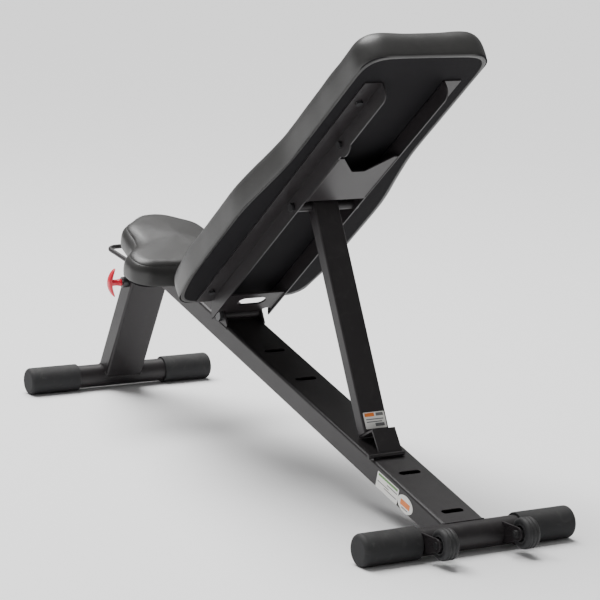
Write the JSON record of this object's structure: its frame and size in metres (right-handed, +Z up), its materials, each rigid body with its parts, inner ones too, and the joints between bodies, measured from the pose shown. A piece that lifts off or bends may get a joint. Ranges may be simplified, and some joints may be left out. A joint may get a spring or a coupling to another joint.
{
  "type": "decline sit up bench",
  "caption": "Folding-back exercise bench: sloping slotted spine on round cross tubes, padded waisted backrest on a prop strut, small flared seat, pull pin and carrying wheels.",
  "frame": {"origin": "on the floor, below the middle of the bench", "axes": "+X from the carrying wheels to the seat, +Y to the left side, +Z up"},
  "size_m": [1.5345, 0.45, 0.9121],
  "materials": {
    "powder_coat": "fine textured",
    "sleeve_rubber": "matte",
    "tyre_rubber": "matte",
    "hub_plastic": "moulded",
    "vinyl": "fine grained vinyl",
    "board_black": "black painted plywood",
    "black_bolt": "black oxide",
    "bright_steel": "plated",
    "knob_red": "moulded",
    "label_white": "blank decal"
  },
  "bodies": {
    "root": {"front_base_tube": "powder_coat", "front_handle": "powder_coat", "front_post": "powder_coat", "front_sleeve_left": "sleeve_rubber", "front_sleeve_right": "sleeve_rubber", "main_tube": "powder_coat", "oval_label": "label_white", "pin_housing": "black_bolt", "pin_spring": "bright_steel", "pivot_bolt": "black_bolt", "pivot_ear_left": "powder_coat", "pivot_ear_right": "powder_coat", "rear_base_tube": "powder_coat", "rear_sleeve_left": "sleeve_rubber", "rear_sleeve_right": "sleeve_rubber", "seat_board": "board_black", "seat_bracket": "powder_coat", "seat_pad": "vinyl", "seat_screws": "black_bolt", "side_label": "label_white", "spine_end_cap": "hub_plastic", "wheel_bolt_left": "black_bolt", "wheel_bolt_right": "black_bolt", "wheel_bracket_left": "powder_coat", "wheel_bracket_right": "powder_coat"},
    "backrest": {"backrest_pad": "vinyl", "backrest_board": "board_black", "rail_left": "powder_coat", "rail_right": "powder_coat", "hinge_plate": "powder_coat", "hinge_barrel": "powder_coat", "hinge_bushes": "hub_plastic", "cross_plate": "powder_coat", "rail_screws": "black_bolt", "ear_bolt": "black_bolt", "strut_axle": "black_bolt", "strut_axle_nut": "black_bolt", "axle_spacers": "powder_coat"},
    "strut": {"strut_tube": "powder_coat", "foot_plate": "powder_coat", "foot_stop_bar": "powder_coat", "strut_bush": "hub_plastic", "strut_label": "label_white"},
    "pull_pin": {"pull_knob": "knob_red", "plunger_pin": "bright_steel"},
    "left_wheel": {"wheel_tyre_left": "tyre_rubber", "wheel_hub_left": "hub_plastic"},
    "right_wheel": {"wheel_tyre_right": "tyre_rubber", "wheel_hub_right": "hub_plastic"}
  },
  "joints": [
    {"name": "back_hinge", "type": "hinge", "parent": "root", "child": "backrest", "pos_m": [0.17326, 0, 0.27266], "axis": [0, 1, 0], "range_deg": [0, 35.4]},
    {"name": "strut_swing", "type": "hinge", "parent": "backrest", "child": "strut", "pos_m": [-0.14447, 0, 0.54443], "axis": [0, -1, 0], "range_deg": [0, 49.4]},
    {"name": "pin_pull", "type": "slide", "parent": "root", "child": "pull_pin", "axis": [0, 1, 0], "range_m": [0, 0.012], "stiffness_N_per_m": 700, "springref_m": -0.008, "deforming": ["pin_spring"]},
    {"name": "left_wheel_spin", "type": "hinge", "parent": "root", "child": "left_wheel", "pos_m": [-0.73875, 0.086, 0.0414], "axis": [0, 1, 0], "continuous": true},
    {"name": "right_wheel_spin", "type": "hinge", "parent": "root", "child": "right_wheel", "pos_m": [-0.73875, -0.086, 0.0414], "axis": [0, 1, 0], "continuous": true}
  ],
  "couplings": [
    {"joint": "strut_swing", "follows": "back_hinge", "ratio": 1.3876}
  ]
}
